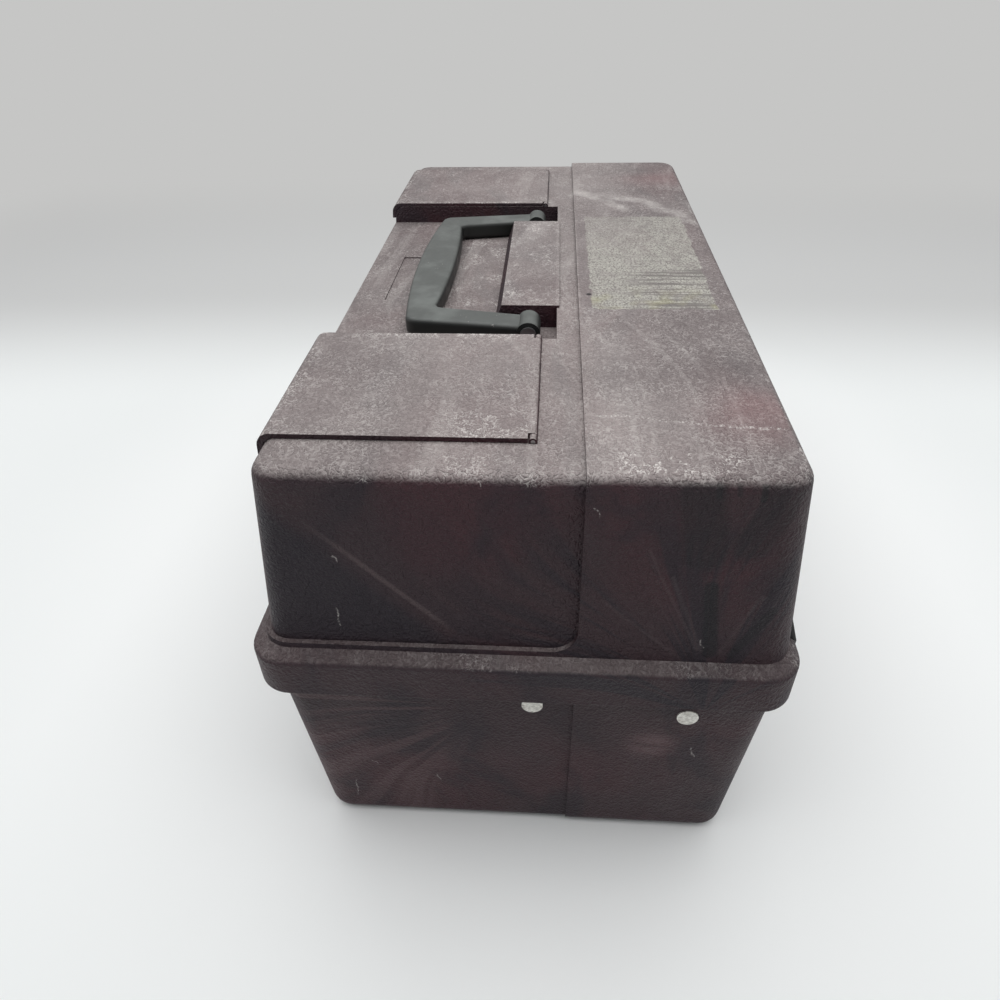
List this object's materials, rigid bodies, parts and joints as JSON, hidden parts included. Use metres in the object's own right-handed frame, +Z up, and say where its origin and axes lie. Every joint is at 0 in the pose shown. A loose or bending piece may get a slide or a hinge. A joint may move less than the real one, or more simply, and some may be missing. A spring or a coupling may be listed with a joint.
{
  "type": "cantilever tackle box",
  "caption": "Hard tackle box with a hinged latching lid, cantilever trays that rise as it opens, top compartment doors and a folding carry handle.",
  "frame": {"origin": "centre of the face that the box stands on", "axes": "+X along the length, -Y towards the latch side, +Y towards the rear hinges, +Z up"},
  "size_m": [0.4662, 0.2432, 0.2269],
  "materials": {
    "marbled_base": "leather grained",
    "marbled_lid": "leather grained",
    "marbled_door": "leather grained",
    "handle_plastic": "fine grained",
    "latch_plastic": "fine grained",
    "hinge_plastic": "fine grained",
    "rivet_aluminium": "dull",
    "rivet_steel": "dull",
    "pin_steel": "bright",
    "arm_steel": "zinc plated",
    "tray_plastic": "smooth",
    "divider_plastic": "smooth"
  },
  "bodies": {
    "base": {"base_shell": "marbled_base", "arm_pivot_rivets": "rivet_aluminium", "base_hinge_leaves": "hinge_plastic", "base_hinge_rivets": "rivet_steel", "rear_hinge_pins": "pin_steel"},
    "lid": {"lid_shell": "marbled_lid", "lid_hinge_leaves": "hinge_plastic", "lid_hinge_rivets": "rivet_steel", "handle_pins": "pin_steel", "door_hinge_pins": "pin_steel", "latch_pin": "pin_steel", "link_lid_pins": "pin_steel"},
    "handle": {"carry_handle": "handle_plastic"},
    "door_right": {"top_door_right": "marbled_door"},
    "door_left": {"top_door_left": "marbled_door"},
    "latch": {"front_latch": "latch_plastic"},
    "front_arms": {"front_arm_right": "arm_steel", "front_arm_left": "arm_steel"},
    "rear_arms": {"rear_arm_right": "arm_steel", "rear_arm_left": "arm_steel", "link_arm_pins": "pin_steel"},
    "lid_links": {"lid_link_right": "arm_steel", "lid_link_left": "arm_steel"},
    "tray_lower_assembly": {"tray_lower": "tray_plastic", "tray_rivets_lower": "rivet_aluminium", "dividers_lower": "divider_plastic"},
    "tray_middle_assembly": {"tray_middle": "tray_plastic", "tray_rivets_middle": "rivet_aluminium", "dividers_middle": "divider_plastic"},
    "tray_upper_assembly": {"tray_upper": "tray_plastic", "tray_rivets_upper": "rivet_aluminium", "dividers_upper": "divider_plastic"}
  },
  "joints": [
    {"name": "lid_hinge", "type": "hinge", "parent": "base", "child": "lid", "pos_m": [0, 0.1148, 0.1126], "axis": [-1, 0, 0], "range_deg": [0, 100]},
    {"name": "latch_hinge", "type": "hinge", "parent": "lid", "child": "latch", "pos_m": [0, -0.1148, 0.148], "axis": [-1, 0, 0], "range_deg": [0, 110]},
    {"name": "handle_hinge", "type": "hinge", "parent": "lid", "child": "handle", "pos_m": [0, -0.002, 0.2204], "axis": [-1, 0, 0], "range_deg": [0, 95]},
    {"name": "door_right_hinge", "type": "hinge", "parent": "lid", "child": "door_right", "pos_m": [0, 0.0034, 0.2253], "axis": [-1, 0, 0], "range_deg": [0, 90]},
    {"name": "door_left_hinge", "type": "hinge", "parent": "lid", "child": "door_left", "pos_m": [0, 0.0034, 0.2253], "axis": [-1, 0, 0], "range_deg": [0, 90]},
    {"name": "front_arm_pivot", "type": "hinge", "parent": "base", "child": "front_arms", "pos_m": [0, 0.0048, 0.1065], "axis": [-1, 0, 0], "range_deg": [0, 76]},
    {"name": "rear_arm_pivot", "type": "hinge", "parent": "base", "child": "rear_arms", "pos_m": [0, 0.0731, 0.1033], "axis": [-1, 0, 0], "range_deg": [0, 76]},
    {"name": "tray_lower_pivot", "type": "hinge", "parent": "front_arms", "child": "tray_lower_assembly", "pos_m": [0, -0.01304, 0.12256], "axis": [-1, 0, 0], "range_deg": [-76, 0]},
    {"name": "tray_middle_pivot", "type": "hinge", "parent": "front_arms", "child": "tray_middle_assembly", "pos_m": [0, -0.04722, 0.15333], "axis": [-1, 0, 0], "range_deg": [-76, 0]},
    {"name": "tray_upper_pivot", "type": "hinge", "parent": "front_arms", "child": "tray_upper_assembly", "pos_m": [0, -0.0814, 0.1841], "axis": [-1, 0, 0], "range_deg": [-76, 0]},
    {"name": "lid_link_pivot", "type": "hinge", "parent": "lid", "child": "lid_links", "pos_m": [0, 0.088, 0.144], "axis": [-1, 0, 0], "range_deg": [-80.1, 0]}
  ],
  "couplings": [
    {"joint": "front_arm_pivot", "follows": "lid_hinge", "ratio": 0.76},
    {"joint": "rear_arm_pivot", "follows": "lid_hinge", "ratio": 0.76},
    {"joint": "tray_lower_pivot", "follows": "lid_hinge", "ratio": -0.76},
    {"joint": "tray_middle_pivot", "follows": "lid_hinge", "ratio": -0.76},
    {"joint": "tray_upper_pivot", "follows": "lid_hinge", "ratio": -0.76},
    {"joint": "lid_link_pivot", "follows": "lid_hinge", "ratio": -0.801}
  ]
}
